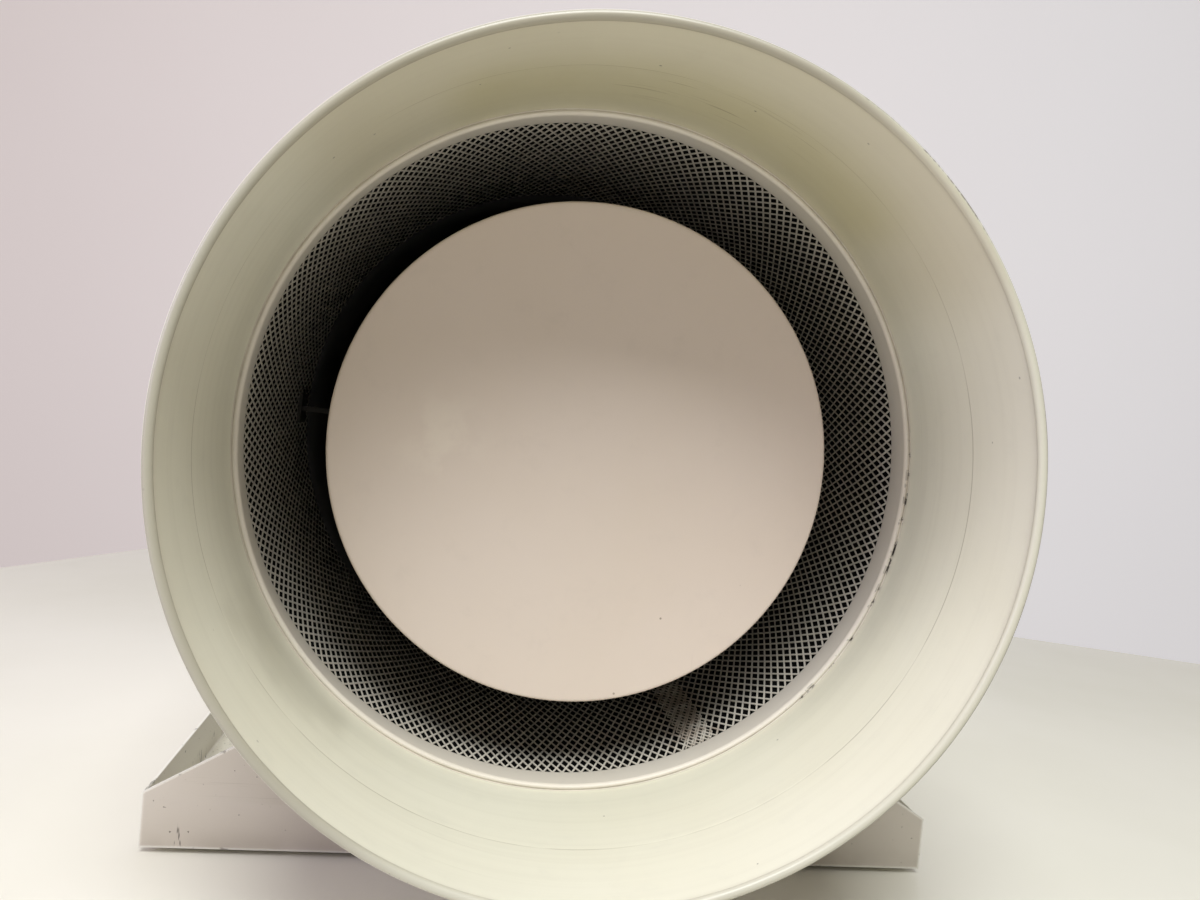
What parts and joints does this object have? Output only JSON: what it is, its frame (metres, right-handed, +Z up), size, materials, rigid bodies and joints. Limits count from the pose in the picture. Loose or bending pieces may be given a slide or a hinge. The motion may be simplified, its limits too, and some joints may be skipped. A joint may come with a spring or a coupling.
{
  "type": "dryer diffuser",
  "caption": "Drum-shaped table-top hot-air dryer head with a deflector disc in front of a mesh diffuser sleeve, on a folded sheet-metal saddle stand.",
  "frame": {"origin": "centre of the footprint, on the table", "axes": "+X right, +Y from the open mouth along the drum's axis towards the fan, +Z up"},
  "size_m": [0.3944, 0.434, 0.3781],
  "materials": {
    "cream_paint": "satin enamel",
    "disc_paint": "satin enamel",
    "mesh_paint": "grey satin",
    "black_enamel": "gloss black",
    "liner_felt": "matt felt",
    "plated_steel": "zinc plated",
    "rubber": "matt",
    "black_plastic": "moulded",
    "copper": "enamelled wire",
    "mica": "mica board",
    "ceramic": "glazed",
    "resistance_wire": "oxidised",
    "filter_foam": "open-cell foam",
    "aluminium": "die cast",
    "lamination": "laminated"
  },
  "bodies": {
    "dryer": {"drum_casing": "cream_paint", "rim_wire": "plated_steel", "inner_collar": "cream_paint", "acoustic_liner": "liner_felt", "mesh_sleeve": "mesh_paint", "fan_shroud": "black_enamel", "deflector_spindle": "plated_steel", "spindle_lock_nut": "plated_steel", "spider_nut": "plated_steel", "spider_bracket": "black_enamel", "heater_boards": "mica", "heater_elements": "resistance_wire", "heater_spacers": "ceramic", "thermal_cutout": "aluminium", "motor_can": "aluminium", "motor_end_cap": "aluminium", "motor_bearings": "plated_steel", "stator_core": "lamination", "stator_windings": "copper", "motor_mount": "plated_steel", "mount_screws": "plated_steel", "rear_cover": "cream_paint", "cover_screws": "plated_steel", "intake_grille": "black_enamel", "dust_filter": "filter_foam", "base_tray": "cream_paint", "front_saddle": "cream_paint", "rear_saddle": "cream_paint", "front_edge_trim": "rubber", "rear_edge_trim": "rubber", "front_bracket": "plated_steel", "rear_bracket": "plated_steel", "bracket_screws": "plated_steel", "tray_rivets": "plated_steel", "rubber_feet": "rubber", "feet_screws": "plated_steel", "switch_body": "black_plastic", "selector_body": "black_plastic", "inlet_socket": "black_plastic", "wiring_box": "plated_steel", "inlet_cover": "plated_steel", "lead_conduit": "black_plastic", "lead_grommet": "rubber", "terminal_block": "black_plastic"},
    "deflector": {"deflector_disc": "disc_paint", "deflector_hub": "aluminium"},
    "rotor": {"rotor_core": "lamination", "fan_shaft": "plated_steel", "impeller": "black_plastic", "impeller_nut": "plated_steel"},
    "rocker": {"power_rocker": "black_plastic"},
    "selector": {"heat_knob": "black_plastic", "selector_shaft": "plated_steel"}
  },
  "joints": [
    {"name": "deflector_adjust", "type": "slide", "parent": "dryer", "child": "deflector", "axis": [0, -1, 0], "range_m": [-0.012, 0.014]},
    {"name": "fan_spin", "type": "hinge", "parent": "dryer", "child": "rotor", "pos_m": [0, 0.119, 0.2069], "axis": [0, 1, 0], "continuous": true},
    {"name": "switch_rock", "type": "hinge", "parent": "dryer", "child": "rocker", "pos_m": [0.156, 0.1503, 0.028], "axis": [1, 0, 0], "range_deg": [0, 20]},
    {"name": "heat_turn", "type": "hinge", "parent": "dryer", "child": "selector", "pos_m": [0.116, 0.163, 0.036], "axis": [0, -1, 0], "range_deg": [0, 270]}
  ]
}
